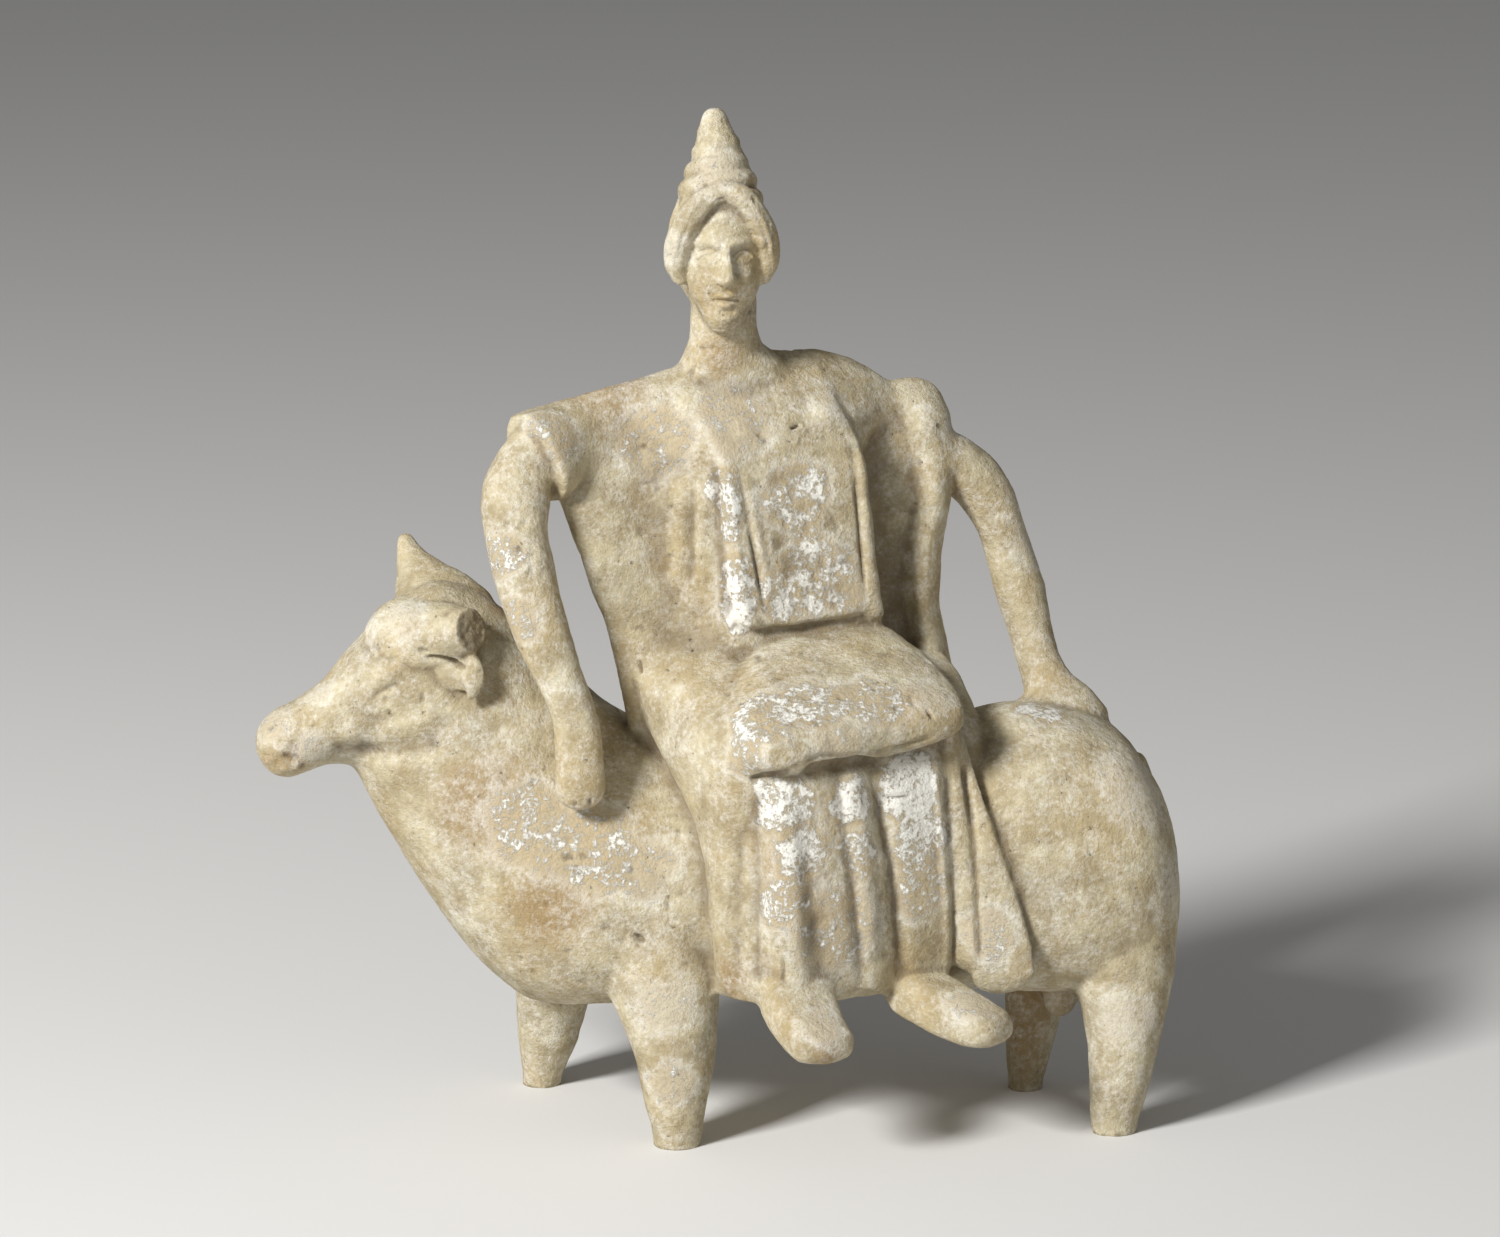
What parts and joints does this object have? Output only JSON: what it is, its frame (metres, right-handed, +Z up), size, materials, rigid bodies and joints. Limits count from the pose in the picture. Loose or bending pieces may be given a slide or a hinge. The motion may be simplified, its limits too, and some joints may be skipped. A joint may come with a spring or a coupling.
{
  "type": "terracotta figurine",
  "caption": "Hand-built fired clay figurine of a robed woman riding side-saddle on a standing bull, in one piece.",
  "frame": {"origin": "under the middle of the bounding box, at the height of the bull's soles", "axes": "+Z up; X along the bull, its muzzle towards -X; the rider faces -Y"},
  "size_m": [0.1864, 0.0798, 0.2061],
  "materials": {
    "fired_clay": "matte buff clay with worn patches of white slip and brown stains"
  },
  "bodies": {
    "root": {"woman_on_bull": "fired_clay"}
  },
  "joints": []
}
